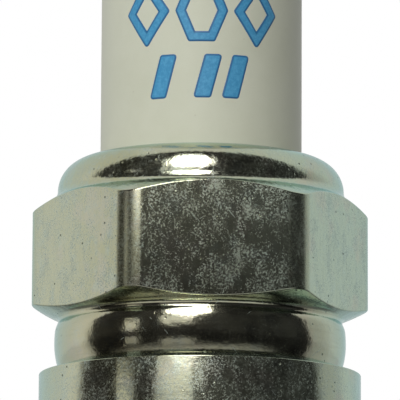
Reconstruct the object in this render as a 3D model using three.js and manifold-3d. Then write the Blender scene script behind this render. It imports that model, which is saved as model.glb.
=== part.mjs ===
// Spark plug with an M12 x 1.25 thread, 19 mm reach and a 16 mm hexagon: resistor type, fine-wire tip.
// Millimetres. The plug's axis is Z, with the terminal up. Z = 0 is the plane where the gasket's
// underside meets the cylinder head. Two flats of the hexagon face -Y and +Y.
import * as THREE from 'three';
import { mergeVertices } from 'three/addons/utils/BufferGeometryUtils.js';
import Module from 'manifold-3d';

const wasm = await Module();
wasm.setup();

// ---------------------------------------------------------------- driving dimensions

const OUTER_SEGMENTS = 36;            // sides of the larger turned pieces
const INNER_SEGMENTS = 24;            // sides of the thread and of the slender pieces
const FIT = 0.04;                     // clearance where two fixed pieces meet face to face

const THREAD = {
  pitch: 1.25,
  crestRadius: 5.96,
  rootRadius: 5.23,
  rootFlat: 0.25,                     // share of the pitch at the root
  flank: 0.3125,                      // share of the pitch on each side of the ridge
  endZ: -19,                          // end face of the shell, at full reach
  topZ: -1.1,
  coreInset: 0.3,                     // how far the shell's core stays inside the thread's root
};

const NECK_RADIUS = 5.2;              // plain neck that holds the gasket
const SEAT_Z = 1.85;                  // underside of the collar, on top of the gasket
const COLLAR = { radius: 8.56, topZ: 8.39, seatEdge: 0.2 };
const BAND = {                        // heat-crimped band, which bulges and is rounder at its top
  bottomZ: 8.7,
  widestZ: 10.06,
  radius: 7.76,
  lowerRound: 4.27,                   // radius of its outline below the widest place
  middleRound: 6.5,
  middleAngle: 5,                     // degrees of slope where the upper rounding starts
  upperRound: 1.2,
  upperAngle: 27,
  footRound: 0.31,                    // concave rounding between the band and the hexagon's chamfer
};
const HEX = {
  acrossFlats: 16,
  cornerRounding: 1.6,
  envelope: 9.3,                      // radius at the ends of the chamfer cones, outside the corners
  bottomZ: 11.44,                     // height of the lower chamfer cone at bottomRadius
  bottomRadius: 7.65,
  bottomSlope: 0.44,                  // rise over run of the chamfer cones
  topSlope: 0.62,
  topZ: 17.88,                        // where the upper chamfer meets the crimped rim
};
const RIM = { radius: 7.65, straight: 0.35, round: 1.7 };                // rolled rim above the hexagon

const POCKET_RADIUS = 3.9;            // gas pocket around the insulator nose
const LEDGE = { radius: 3.3, bottomZ: -7.6, topZ: -6.95, slope: 0.85 };  // ledge that carries the insulator
const LOWER_BORE = { radius: 3.95, topZ: 4.2 };
const UPPER_BORE = { radius: 6.05, bottomZ: 7.2, topZ: 19.25, topEdge: 0.2 };
const LIP_RADIUS = 5.46;              // inner edge of the rolled rim

const WASHER = { thickness: 0.25, innerRadius: 3.36, outerRadius: 3.78 };
const HEAD_STEP = 0.35;               // height of the cones that carry the centre electrode's head
const INSULATOR = {
  radius: 5.39,                       // glazed cylinder above the shell
  shoulderRadius: 5.93,
  stemRadius: 3.82,
  noseRadius: 3.02,
  tipRadius: 2.1,
  tipZ: -20.6,
  tipChamfer: 0.25,
  stemTopZ: 4.5,
  shoulderBottomZ: 7.55,
  shoulderTopZ: 13.8,
  neckBottomZ: 14.6,
  ribsBottomZ: 29.4,
  topZ: 42,
  topChamfer: 0.8,
  boreRadius: 2.0,
  electrodeBoreRadius: 1.3,
  electrodeSeatZ: -2.35,
};
const RIBS = {
  count: 5,
  pitch: 2.1,
  crestRadius: 5.3,
  crestTaper: 0.05,                   // each rib is this much smaller than the one below
  valleyRadius: 4.65,
  valleyShare: 0.35,                  // where the valley and the crest start, as shares of the pitch
  crestShare: 0.7,
};

const SEAL_STACK = { lowerZ: 14.75, ringHeight: 0.6, topZ: 19.2, ringEdge: 0.15, powderEdge: 0.02 };
const GASKET = { innerRadius: 5.85, outerRadius: 8.5, height: 1.8, sheet: 0.4, bend: 0.15 };

const CORE_RADIUS = 1.94;             // glass seals and resistor, in the insulator's bore
const LOWER_GLASS = { bottomZ: -0.45, topZ: 3 };
const RESISTOR = { bottomZ: 3.04, topZ: 8.96 };
const UPPER_GLASS = { bottomZ: 9, topZ: 12 };

const STUD = {
  bottomZ: 12.04,
  knurlRadius: 1.9,
  knurlTopZ: 16,
  knurlEnd: 0.2,
  shankRadius: 1.7,
  flangeRadius: 3.0,
  flangeTopZ: 42.8,
  threadRadius: 1.95,                 // M4 thread for the terminal nut
  topZ: 48.4,
  topChamfer: 0.3,
};
const NUT = {
  bottomZ: 42.85,
  topZ: 50.5,
  radius: 3.175,
  waistRadius: 2.75,
  waistBottomZ: 44.5,
  waistTopZ: 46.3,
  waistEnd: 0.4,                      // height of the cones at the waist's ends
  boreRadius: 2.08,
  boreTopZ: 49,
  borePoint: 0.6,
  topFlatRadius: 2.45,
  topRound: 0.9,
  bottomEdge: 0.2,
};

const ELECTRODE = {
  headRadius: 1.9,
  headTopZ: -0.5,
  radius: 1.25,
  endRadius: 0.62,
  endZ: -21.2,
  endCone: 0.5,
  coreRadius: 0.78,
  coreBottomZ: -19.4,
  corePoint: 0.4,                     // depth of the core bore's pointed end
};
const TIP = { radius: 0.3, endZ: -22.2, weldHeight: 0.25, weldEdge: 0.08 };
const SPARK_GAP = 0.9;
const PAD = { radius: 0.45, height: 0.1 };
const STRAP = {
  width: 2.6,
  thickness: 1.3,
  legX: 4.6,                          // middle of the leg, on the shell's end face
  bendRadius: 2.0,                    // along the middle of the section
  freeEndX: -1.0,
  coreWidth: 1.3,
  coreThickness: 0.55,
  coreEndX: 0.6,
};

// ---------------------------------------------------------------- shapes

// Points of an arc in the (radius, z) half plane, angles in degrees.
function arc(centreR, centreZ, radius, fromDegrees, toDegrees, steps) {
  const points = [];
  for (let i = 0; i <= steps; i += 1) {
    const angle = THREE.MathUtils.degToRad(fromDegrees + ((toDegrees - fromDegrees) * i) / steps);
    points.push([centreR + radius * Math.cos(angle), centreZ + radius * Math.sin(angle)]);
  }
  return points;
}

// A piece turned about Z from [radius, z] points that start and end on the axis, or close on themselves.
function turned(points, segments) {
  const profile = points.map(([radius, z]) => new THREE.Vector2(radius, z));
  const geometry = new THREE.LatheGeometry(profile, segments);
  geometry.rotateX(Math.PI / 2);
  return geometry;
}

// A ring from a closed section: the first point is repeated at the end.
function ring(section, segments) {
  return turned([...section, section[0]], segments);
}

// A plain round bar or disc.
function bar(radius, bottomZ, topZ, segments) {
  return turned([[0, bottomZ], [radius, bottomZ], [radius, topZ], [0, topZ]], segments);
}

// Geometry as a manifold solid, with shared vertices merged and collapsed triangles left out.
function toSolid(geometry) {
  const bare = geometry.clone();
  bare.deleteAttribute('normal');
  bare.deleteAttribute('uv');
  const merged = mergeVertices(bare, 1e-5);
  const triangles = [];
  for (let i = 0; i < merged.index.count; i += 3) {
    const corners = [0, 1, 2].map((corner) => merged.index.getX(i + corner));
    if (new Set(corners).size === 3) {
      triangles.push(...corners);
    }
  }
  return new wasm.Manifold(new wasm.Mesh({
    numProp: 3,
    vertProperties: new Float32Array(merged.attributes.position.array),
    triVerts: new Uint32Array(triangles),
  }));
}

function toGeometry(solid) {
  const mesh = solid.getMesh();
  const geometry = new THREE.BufferGeometry();
  geometry.setAttribute('position', new THREE.BufferAttribute(new Float32Array(mesh.vertProperties), 3));
  geometry.setIndex(new THREE.BufferAttribute(new Uint32Array(mesh.triVerts), 1));
  return geometry;
}

// ---------------------------------------------------------------- shell

// Right-hand external thread on a solid rod: a turned grid whose columns climb by one pitch per turn,
// held to the rod's end planes. The ridge grows over the first pitch and runs out over the last.
function threadedRod() {
  const { pitch, crestRadius, rootRadius, rootFlat, flank, endZ, topZ } = THREAD;
  const shares = [0, rootFlat, rootFlat + flank, 1 - flank];
  const heights = [0, 0, 1, 1];
  const turns = Math.ceil((topZ - endZ) / pitch) + 1;
  const rows = [];
  for (let turn = -1; turn < turns; turn += 1) {
    shares.forEach((share, i) => rows.push({ z: endZ + pitch * (turn + share), height: heights[i] }));
  }
  const profile = [[0, endZ], ...rows.map((row) => [rootRadius, row.z]), [0, topZ]];
  const geometry = turned(profile, INNER_SEGMENTS);
  const position = geometry.attributes.position;
  for (let column = 0; column <= INNER_SEGMENTS; column += 1) {
    const angle = (2 * Math.PI * column) / INNER_SEGMENTS;
    rows.forEach((row, i) => {
      const climbed = row.z + (pitch * column) / INNER_SEGMENTS;
      const z = THREE.MathUtils.clamp(climbed, endZ, topZ);
      const fade = Math.min(1, (z - endZ) / pitch, (topZ - z) / pitch);
      const radius = rootRadius + (crestRadius - rootRadius) * row.height * fade;
      const vertex = column * profile.length + i + 1;
      position.setXYZ(vertex, radius * Math.sin(angle), -radius * Math.cos(angle), z);
    });
  }
  return geometry;
}

// The band's outline from the collar up: three arcs that run smoothly into one another.
function bandPoints() {
  const { bottomZ, widestZ, radius, lowerRound, middleRound, middleAngle } = BAND;
  const { upperRound, upperAngle, footRound } = BAND;
  const lowerAngle = THREE.MathUtils.radToDeg(Math.asin((widestZ - bottomZ) / lowerRound));
  const slope = THREE.MathUtils.degToRad(middleAngle);
  const upperR = radius - middleRound + (middleRound - upperRound) * Math.cos(slope);
  const upperZ = widestZ + (middleRound - upperRound) * Math.sin(slope);
  const end = THREE.MathUtils.degToRad(upperAngle);
  const footR = upperR + (upperRound + footRound) * Math.cos(end);
  const footZ = upperZ + (upperRound + footRound) * Math.sin(end);
  const chamferAngle = THREE.MathUtils.radToDeg(Math.atan(HEX.bottomSlope));
  return [
    ...arc(radius - lowerRound, widestZ, lowerRound, -lowerAngle, 0, 3),
    ...arc(upperR, upperZ, upperRound, middleAngle, upperAngle, 3),
    ...arc(footR, footZ, footRound, 180 + upperAngle, 90 + chamferAngle, 3),
  ];
}

// Outside of the shell above the thread, as a solid of revolution. The hexagon is still a double cone.
function shellBlank() {
  const coreRadius = THREAD.rootRadius - THREAD.coreInset;
  return turned([
    [0, THREAD.endZ + 1],
    [coreRadius, THREAD.endZ + 1],
    [coreRadius, THREAD.topZ - THREAD.coreInset],
    [NECK_RADIUS, THREAD.topZ + THREAD.coreInset],
    [NECK_RADIUS, SEAT_Z],
    [COLLAR.radius - COLLAR.seatEdge, SEAT_Z],
    [COLLAR.radius, SEAT_Z + COLLAR.seatEdge],
    [COLLAR.radius, COLLAR.topZ],
    ...bandPoints(),
    [HEX.envelope, HEX.bottomZ + HEX.bottomSlope * (HEX.envelope - HEX.bottomRadius)],
    [HEX.envelope, HEX.topZ - HEX.topSlope * (HEX.envelope - RIM.radius)],
    [RIM.radius, HEX.topZ],
    ...arc(RIM.radius - RIM.round, HEX.topZ + RIM.straight, RIM.round, 0, 90, 6),
    [0, HEX.topZ + RIM.straight + RIM.round],
  ], OUTER_SEGMENTS);
}

// Hexagonal outline with rounded corners. The first corner lies on +X.
function hexOutline() {
  const shape = new THREE.Shape();
  const corner = (HEX.acrossFlats / 2 - HEX.cornerRounding) / Math.cos(Math.PI / 6);
  for (let i = 0; i < 6; i += 1) {
    const angle = (i * Math.PI) / 3;
    const centreX = corner * Math.cos(angle);
    const centreY = corner * Math.sin(angle);
    shape.absarc(centreX, centreY, HEX.cornerRounding, angle - Math.PI / 6, angle + Math.PI / 6, false);
  }
  shape.closePath();
  return shape;
}

// What is milled away around the hexagon, between the band and the rim.
function hexCutter() {
  const bottomZ = HEX.bottomZ - 1;
  const height = RIM.straight + HEX.topZ - bottomZ;
  const settings = { depth: height + 2, bevelEnabled: false, curveSegments: 4 };
  const prism = new THREE.ExtrudeGeometry(hexOutline(), settings);
  prism.translate(0, 0, bottomZ - 1);
  const disc = bar(HEX.envelope + 1, bottomZ, bottomZ + height, OUTER_SEGMENTS);
  return toSolid(disc).subtract(toSolid(prism));
}

// The stepped bore: gas pocket, ledge, lower bore, cone, upper bore and the opening in the rim.
function shellBore() {
  const ledgeRun = LOWER_BORE.radius - LEDGE.radius;
  return turned([
    [0, THREAD.endZ - 1],
    [POCKET_RADIUS, THREAD.endZ - 1],
    [POCKET_RADIUS, LEDGE.bottomZ - (POCKET_RADIUS - LEDGE.radius)],
    [LEDGE.radius, LEDGE.bottomZ],
    [LEDGE.radius, LEDGE.topZ],
    [LOWER_BORE.radius, LEDGE.topZ + LEDGE.slope * ledgeRun],
    [LOWER_BORE.radius, LOWER_BORE.topZ],
    [UPPER_BORE.radius, UPPER_BORE.bottomZ],
    [UPPER_BORE.radius, UPPER_BORE.topZ - UPPER_BORE.topEdge],
    [UPPER_BORE.radius - UPPER_BORE.topEdge, UPPER_BORE.topZ],
    [LIP_RADIUS, UPPER_BORE.topZ],
    [LIP_RADIUS, UPPER_BORE.topZ + 2],
    [0, UPPER_BORE.topZ + 2],
  ], OUTER_SEGMENTS);
}

function shell() {
  const outside = toSolid(shellBlank()).subtract(hexCutter()).add(toSolid(threadedRod()));
  return toGeometry(outside.subtract(toSolid(shellBore())));
}

// ---------------------------------------------------------------- insulator and seals

// Height of the ledge's cone at a radius, raised by an offset.
function ledgeZ(radius, offset) {
  return LEDGE.topZ + LEDGE.slope * (radius - LEDGE.radius) + offset;
}

// Rounded ribs below the insulator's head: two crest points and one valley point each.
function ribPoints() {
  const points = [];
  for (let i = 0; i < RIBS.count; i += 1) {
    const z = INSULATOR.ribsBottomZ + i * RIBS.pitch;
    const crest = RIBS.crestRadius - i * RIBS.crestTaper;
    points.push([RIBS.valleyRadius, z + RIBS.valleyShare * RIBS.pitch]);
    points.push([crest, z + RIBS.crestShare * RIBS.pitch]);
    points.push([crest, z + RIBS.pitch]);
  }
  return points;
}

function insulator() {
  const seatOffset = WASHER.thickness + 2 * FIT;
  const headZ = INSULATOR.ribsBottomZ + RIBS.count * RIBS.pitch;
  return ring([
    [INSULATOR.electrodeBoreRadius, INSULATOR.tipZ],
    [INSULATOR.tipRadius - INSULATOR.tipChamfer, INSULATOR.tipZ],
    [INSULATOR.tipRadius, INSULATOR.tipZ + INSULATOR.tipChamfer],
    [INSULATOR.noseRadius, ledgeZ(INSULATOR.noseRadius, seatOffset)],
    [INSULATOR.stemRadius, ledgeZ(INSULATOR.stemRadius, seatOffset)],
    [INSULATOR.stemRadius, INSULATOR.stemTopZ],
    [INSULATOR.shoulderRadius, INSULATOR.shoulderBottomZ],
    [INSULATOR.shoulderRadius, INSULATOR.shoulderTopZ],
    [INSULATOR.radius, INSULATOR.neckBottomZ],
    [INSULATOR.radius, INSULATOR.ribsBottomZ],
    ...ribPoints(),
    [RIBS.valleyRadius, headZ + RIBS.valleyShare * RIBS.pitch],
    [RIBS.valleyRadius, INSULATOR.topZ - INSULATOR.topChamfer],
    [RIBS.valleyRadius - INSULATOR.topChamfer, INSULATOR.topZ],
    [INSULATOR.boreRadius, INSULATOR.topZ],
    [INSULATOR.boreRadius, INSULATOR.electrodeSeatZ + HEAD_STEP],
    [INSULATOR.electrodeBoreRadius, INSULATOR.electrodeSeatZ],
  ], OUTER_SEGMENTS);
}

function insulatorSeatWasher() {
  const { innerRadius, outerRadius, thickness } = WASHER;
  return ring([
    [innerRadius, ledgeZ(innerRadius, FIT)],
    [outerRadius, ledgeZ(outerRadius, FIT)],
    [outerRadius, ledgeZ(outerRadius, FIT + thickness)],
    [innerRadius, ledgeZ(innerRadius, FIT + thickness)],
  ], OUTER_SEGMENTS);
}

// One layer of the seal between insulator and shell. A positive edge rounds off its corners.
function sealLayer(bottomZ, topZ, edge) {
  const inner = INSULATOR.radius + FIT;
  const outer = UPPER_BORE.radius - FIT;
  return ring([
    [inner + edge, bottomZ],
    [outer - edge, bottomZ],
    [outer, bottomZ + edge],
    [outer, topZ - edge],
    [outer - edge, topZ],
    [inner + edge, topZ],
    [inner, topZ - edge],
    [inner, bottomZ + edge],
  ], OUTER_SEGMENTS);
}

// Crush washer of folded sheet: three layers joined by an outer and an inner bend.
function gasket() {
  const { innerRadius, outerRadius, height, sheet, bend } = GASKET;
  const middleZ = (height - sheet) / 2;
  return ring([
    [innerRadius, 0],
    [outerRadius - bend, 0],
    [outerRadius, bend],
    [outerRadius, middleZ + sheet - bend],
    [outerRadius - bend, middleZ + sheet],
    [innerRadius + sheet, middleZ + sheet],
    [innerRadius + sheet, height - sheet],
    [outerRadius - bend, height - sheet],
    [outerRadius - bend, height],
    [innerRadius + bend, height],
    [innerRadius, height - bend],
    [innerRadius, middleZ + bend],
    [innerRadius + bend, middleZ],
    [outerRadius - sheet, middleZ],
    [outerRadius - sheet, sheet],
    [innerRadius, sheet],
  ], OUTER_SEGMENTS);
}

// ---------------------------------------------------------------- terminal

function terminalStud() {
  return turned([
    [0, STUD.bottomZ],
    [STUD.knurlRadius, STUD.bottomZ],
    [STUD.knurlRadius, STUD.knurlTopZ],
    [STUD.shankRadius, STUD.knurlTopZ + STUD.knurlEnd],
    [STUD.shankRadius, INSULATOR.topZ + FIT],
    [STUD.flangeRadius, INSULATOR.topZ + FIT],
    [STUD.flangeRadius, STUD.flangeTopZ],
    [STUD.threadRadius, STUD.flangeTopZ],
    [STUD.threadRadius, STUD.topZ - STUD.topChamfer],
    [STUD.threadRadius - STUD.topChamfer, STUD.topZ],
    [0, STUD.topZ],
  ], INNER_SEGMENTS);
}

// The snap-on terminal: a cap with a waist, and a blind bore that opens at its lower end.
function terminalNut() {
  return turned([
    [0, NUT.boreTopZ],
    [NUT.boreRadius, NUT.boreTopZ - NUT.borePoint],
    [NUT.boreRadius, NUT.bottomZ],
    [NUT.radius - NUT.bottomEdge, NUT.bottomZ],
    [NUT.radius, NUT.bottomZ + NUT.bottomEdge],
    [NUT.radius, NUT.waistBottomZ - NUT.waistEnd],
    [NUT.waistRadius, NUT.waistBottomZ],
    [NUT.waistRadius, NUT.waistTopZ],
    [NUT.radius, NUT.waistTopZ + NUT.waistEnd],
    [NUT.radius, NUT.topZ - NUT.topRound],
    [NUT.topFlatRadius, NUT.topZ],
    [0, NUT.topZ],
  ], INNER_SEGMENTS);
}

// ---------------------------------------------------------------- electrodes

// Nickel-alloy electrode, hung by its head in the insulator, with a blind bore for the copper core.
function centreElectrode() {
  const { headRadius, headTopZ, radius, endRadius, endZ, endCone } = ELECTRODE;
  const { coreRadius, coreBottomZ, corePoint } = ELECTRODE;
  const headBottomZ = INSULATOR.electrodeSeatZ + HEAD_STEP + FIT;
  return turned([
    [0, endZ],
    [endRadius, endZ],
    [radius, endZ + endCone],
    [radius, headBottomZ - HEAD_STEP],
    [headRadius, headBottomZ],
    [headRadius, headTopZ],
    [coreRadius, headTopZ],
    [coreRadius, coreBottomZ],
    [0, coreBottomZ - corePoint],
  ], INNER_SEGMENTS);
}

function centreElectrodeCore() {
  const { coreRadius, coreBottomZ, corePoint, headTopZ } = ELECTRODE;
  const radius = coreRadius - FIT;
  return turned([
    [0, coreBottomZ - corePoint + 2 * FIT],
    [radius, coreBottomZ + FIT],
    [radius, headTopZ],
    [0, headTopZ],
  ], INNER_SEGMENTS);
}

function tipWeld() {
  const inner = TIP.radius + FIT;
  const outer = ELECTRODE.endRadius - FIT;
  const topZ = ELECTRODE.endZ - FIT;
  return ring([
    [inner, topZ - TIP.weldHeight],
    [inner + TIP.weldEdge, topZ - TIP.weldHeight],
    [outer, topZ - TIP.weldEdge],
    [outer, topZ],
    [inner, topZ],
  ], INNER_SEGMENTS);
}

// Top face of the ground electrode's free leg, below the pad, the gap and the tip.
const STRAP_TOP_Z = TIP.endZ - SPARK_GAP - PAD.height - FIT / 2;

// Bent bar of even thickness along the strap's middle line, seen from -Y, as a solid of a given width.
function bentBar(thickness, width, footZ, freeEndX) {
  const half = thickness / 2;
  const bendX = STRAP.legX - STRAP.bendRadius;
  const lowerZ = STRAP_TOP_Z - STRAP.thickness / 2;
  const bendZ = lowerZ + STRAP.bendRadius;
  const outline = new THREE.Shape();
  outline.moveTo(STRAP.legX + half, footZ);
  outline.lineTo(STRAP.legX + half, bendZ);
  outline.absarc(bendX, bendZ, STRAP.bendRadius + half, 0, -Math.PI / 2, true);
  outline.lineTo(freeEndX, lowerZ - half);
  outline.lineTo(freeEndX, lowerZ + half);
  outline.lineTo(bendX, lowerZ + half);
  outline.absarc(bendX, bendZ, STRAP.bendRadius - half, -Math.PI / 2, 0, false);
  outline.lineTo(STRAP.legX - half, footZ);
  outline.closePath();
  const settings = { depth: width, bevelEnabled: false, curveSegments: 8 };
  const geometry = new THREE.ExtrudeGeometry(outline, settings);
  geometry.rotateX(Math.PI / 2);
  geometry.translate(0, width / 2, 0);
  return geometry;
}

function groundElectrode() {
  const footZ = THREAD.endZ - FIT;
  const bentStrip = toSolid(bentBar(STRAP.thickness, STRAP.width, footZ, STRAP.freeEndX));
  const slot = toSolid(bentBar(STRAP.coreThickness, STRAP.coreWidth, footZ + 1, STRAP.coreEndX));
  return toGeometry(bentStrip.subtract(slot));
}

function groundElectrodeCore() {
  const thickness = STRAP.coreThickness - 2 * FIT;
  const width = STRAP.coreWidth - 2 * FIT;
  return bentBar(thickness, width, THREAD.endZ - FIT, STRAP.coreEndX + FIT);
}

// ---------------------------------------------------------------- assembly

const steel = { color: 0xb4b89c, roughness: 0.35, metalness: 1 };
const ceramic = { color: 0xbcbbaa, roughness: 0.25, metalness: 0 };
const brightSteel = { color: 0xc9c9c4, roughness: 0.3, metalness: 1 };
const nickel = { color: 0x9a968c, roughness: 0.45, metalness: 1 };
const copper = { color: 0xc87a4b, roughness: 0.4, metalness: 1 };
const iridium = { color: 0xc4c4c8, roughness: 0.3, metalness: 1 };
const platinum = { color: 0xd6d4ce, roughness: 0.25, metalness: 1 };
const darkGlass = { color: 0x4a3a32, roughness: 0.5, metalness: 0 };
const talc = { color: 0xd9d6cc, roughness: 0.95, metalness: 0 };
const carbon = { color: 0x2e2c2a, roughness: 0.8, metalness: 0 };

const plug = new THREE.Group();

function add(name, geometry, { color, roughness, metalness }) {
  const mesh = new THREE.Mesh(geometry, new THREE.MeshStandardMaterial({ color, roughness, metalness }));
  mesh.name = name;
  plug.add(mesh);
}

const ringBottomZ = SEAL_STACK.lowerZ;
const ringTopZ = SEAL_STACK.topZ;
const talcBottomZ = ringBottomZ + SEAL_STACK.ringHeight + FIT;
const talcTopZ = ringTopZ - SEAL_STACK.ringHeight - FIT;
const padBottomZ = TIP.endZ - SPARK_GAP - PAD.height;

// A solid cylinder in the insulator's bore.
function core({ bottomZ, topZ }) {
  return bar(CORE_RADIUS, bottomZ, topZ, INNER_SEGMENTS);
}

add('shell', shell(), steel);
add('insulator', insulator(), ceramic);
add('insulator_seat_washer', insulatorSeatWasher(), brightSteel);
add('lower_packing_ring', sealLayer(ringBottomZ, talcBottomZ - FIT, SEAL_STACK.ringEdge), brightSteel);
add('talc_powder_seal', sealLayer(talcBottomZ, talcTopZ, SEAL_STACK.powderEdge), talc);
add('upper_packing_ring', sealLayer(talcTopZ + FIT, ringTopZ, SEAL_STACK.ringEdge), brightSteel);
add('gasket', gasket(), brightSteel);
add('terminal_stud', terminalStud(), brightSteel);
add('terminal_nut', terminalNut(), brightSteel);
add('upper_glass_seal', core(UPPER_GLASS), darkGlass);
add('resistor', core(RESISTOR), carbon);
add('lower_glass_seal', core(LOWER_GLASS), darkGlass);
add('centre_electrode', centreElectrode(), nickel);
add('centre_electrode_core', centreElectrodeCore(), copper);
add('tip_weld', tipWeld(), nickel);
add('iridium_tip', bar(TIP.radius, TIP.endZ, ELECTRODE.endZ - FIT, INNER_SEGMENTS), iridium);
add('ground_electrode', groundElectrode(), nickel);
add('ground_electrode_core', groundElectrodeCore(), copper);
add('platinum_pad', bar(PAD.radius, padBottomZ, padBottomZ + PAD.height, INNER_SEGMENTS), platinum);

export default plug;
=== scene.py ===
import math

import bmesh
import bpy
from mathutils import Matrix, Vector


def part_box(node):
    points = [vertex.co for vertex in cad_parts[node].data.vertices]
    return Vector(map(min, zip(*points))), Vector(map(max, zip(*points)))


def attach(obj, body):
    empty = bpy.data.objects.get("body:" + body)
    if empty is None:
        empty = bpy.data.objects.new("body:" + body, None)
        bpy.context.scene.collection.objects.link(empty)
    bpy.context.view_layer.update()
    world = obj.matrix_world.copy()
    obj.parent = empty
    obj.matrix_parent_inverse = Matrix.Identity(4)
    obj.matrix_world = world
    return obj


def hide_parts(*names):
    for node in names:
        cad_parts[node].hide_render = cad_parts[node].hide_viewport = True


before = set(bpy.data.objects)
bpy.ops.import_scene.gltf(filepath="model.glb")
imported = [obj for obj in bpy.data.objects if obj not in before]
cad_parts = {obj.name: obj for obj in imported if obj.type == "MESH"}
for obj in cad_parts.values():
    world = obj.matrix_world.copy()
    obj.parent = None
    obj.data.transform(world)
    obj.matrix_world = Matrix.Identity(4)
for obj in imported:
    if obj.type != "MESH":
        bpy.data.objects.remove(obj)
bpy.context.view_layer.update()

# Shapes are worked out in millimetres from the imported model's boxes, and become metres in new_mesh().
MM = 0.001
FIT = 0.04


def box_mm(name):
    low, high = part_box(name)
    return low / MM, high / MM


SHELL_LOW, SHELL_HIGH = box_mm("shell")
INSULATOR_LOW, INSULATOR_HIGH = box_mm("insulator")
STUD_LOW, STUD_HIGH = box_mm("terminal_stud")
NUT_LOW, NUT_HIGH = box_mm("terminal_nut")
GASKET_LOW, GASKET_HIGH = box_mm("gasket")
STRAP_LOW, STRAP_HIGH = box_mm("ground_electrode")
STRAP_CORE_LOW, STRAP_CORE_HIGH = box_mm("ground_electrode_core")
ELECTRODE_LOW, ELECTRODE_HIGH = box_mm("centre_electrode")

# Shell
RIM_TOP = SHELL_HIGH.z
END_Z = SHELL_LOW.z
COLLAR_RADIUS = SHELL_HIGH.y
HEX_CORNER = SHELL_HIGH.x
HEX_ROUNDING = 1.6
HEX_HALF_FLATS = (HEX_CORNER - HEX_ROUNDING) * math.cos(math.pi / 6) + HEX_ROUNDING
RIM_RADIUS, RIM_STRAIGHT, RIM_ROUND = 7.65, 0.35, 1.70
HEX_TOP = RIM_TOP - RIM_ROUND - RIM_STRAIGHT
TOP_SLOPE, BOTTOM_SLOPE = 0.62, 0.44
HEX_BOTTOM, HEX_BOTTOM_RADIUS = 11.44, 7.65
BAND_RADIUS, BAND_WIDEST, BAND_LOW = 7.76, 10.06, 8.7
BAND_LOWER_ROUND, BAND_MIDDLE_ROUND, BAND_UPPER_ROUND = 4.27, 6.5, 1.2
BAND_MIDDLE_ANGLE, BAND_UPPER_ANGLE, BAND_FOOT_ROUND = 5, 27, 0.31
COLLAR_TOP, SEAT_Z, NECK_RADIUS = 8.39, 1.85, 5.2
THREAD_PITCH, THREAD_CREST, THREAD_ROOT, THREAD_TOP = 1.25, 5.96, 5.23, -1.1
POCKET_RADIUS, LEDGE_RADIUS, LEDGE_LOW, LEDGE_HIGH, LEDGE_SLOPE = 3.9, 3.3, -7.6, -6.95, 0.85
LOWER_BORE, LOWER_BORE_TOP, UPPER_BORE, UPPER_BORE_LOW, UPPER_BORE_TOP = 3.95, 4.2, 6.05, 7.2, 19.25
LIP_RADIUS = 5.46

# Insulator
GLAZED_RADIUS, SHOULDER_RADIUS, STEM_RADIUS, NOSE_RADIUS, TIP_END_RADIUS = 5.39, 5.93, 3.82, 3.02, 2.1
INSULATOR_BORE, ELECTRODE_BORE, ELECTRODE_SEAT, HEAD_STEP = 2.0, 1.3, -2.35, 0.35
RIBS_LOW, RIB_COUNT, RIB_PITCH, RIB_CREST, RIB_TAPER, RIB_VALLEY = 29.4, 5, 2.1, 5.3, 0.05, 4.65
WASHER_THICKNESS = 0.25

# Camera: the photograph's direction and framing
VIEW_AZIMUTH, VIEW_ELEVATION, VIEW_ROLL = -5.1, -9.6, 0.3
VIEW_DISTANCE, VIEW_WIDTH = 240.0, 21.41
VIEW_CENTRE = Vector((-0.043, 0.0, 17.9))


# ---------------------------------------------------------------- mesh tools

def arc(centre_r, centre_z, radius, start, end, steps):
    """Points of an arc in the (radius, z) half plane, angles in degrees."""
    angles = [math.radians(start + (end - start) * i / steps) for i in range(steps + 1)]
    return [(centre_r + radius * math.cos(a), centre_z + radius * math.sin(a)) for a in angles]


def fillet(before, corner, after, radius, steps):
    """Points of the arc that rounds off a corner. It shrinks where the neighbouring edges are short."""
    to_before = Vector(before[:2]) - Vector(corner[:2])
    to_after = Vector(after[:2]) - Vector(corner[:2])
    half = to_before.angle(to_after) / 2
    reach = min(radius / math.tan(half), 0.48 * to_before.length, 0.48 * to_after.length)
    start = to_before.normalized() * reach
    end = to_after.normalized() * reach
    centre = ((start + end) / 2).normalized() * (reach / math.cos(half))
    from_centre = start - centre
    sweep = from_centre.angle_signed(end - centre)
    points = []
    for i in range(steps + 1):
        turn = -sweep * i / steps
        x = from_centre.x * math.cos(turn) - from_centre.y * math.sin(turn)
        y = from_centre.x * math.sin(turn) + from_centre.y * math.cos(turn)
        points.append((corner[0] + centre.x + x, corner[1] + centre.y + y))
    return points


def rounded(outline, closed=False, steps=4):
    """Outline points (r, z) or (r, z, fillet radius) as plain points, with the fillets as arcs."""
    points = []
    last = len(outline) - 1
    for i, point in enumerate(outline):
        if len(point) < 3 or (not closed and i in (0, last)):
            points.append(tuple(point[:2]))
        else:
            points += fillet(outline[i - 1], point, outline[(i + 1) % len(outline)], point[2], steps)
    return points


def new_mesh(name, vertices, faces, smooth_angle=32.0, edge_values=None):
    """A welded, smooth-shaded object from vertices in millimetres, with faces pointing out."""
    mesh = bpy.data.meshes.new(name)
    mesh.from_pydata([Vector(v) * MM for v in vertices], [], faces)
    if edge_values:
        attribute = mesh.attributes.new("edge", "FLOAT", "POINT")
        attribute.data.foreach_set("value", edge_values)
    work = bmesh.new()
    work.from_mesh(mesh)
    bmesh.ops.remove_doubles(work, verts=work.verts, dist=1e-7)
    bmesh.ops.dissolve_degenerate(work, edges=work.edges, dist=1e-8)
    bmesh.ops.recalc_face_normals(work, faces=work.faces)
    work.to_mesh(mesh)
    work.free()
    mesh.shade_smooth()
    mesh.set_sharp_from_angle(angle=math.radians(smooth_angle))
    piece = bpy.data.objects.new(name, mesh)
    bpy.context.scene.collection.objects.link(piece)
    return piece


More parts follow.
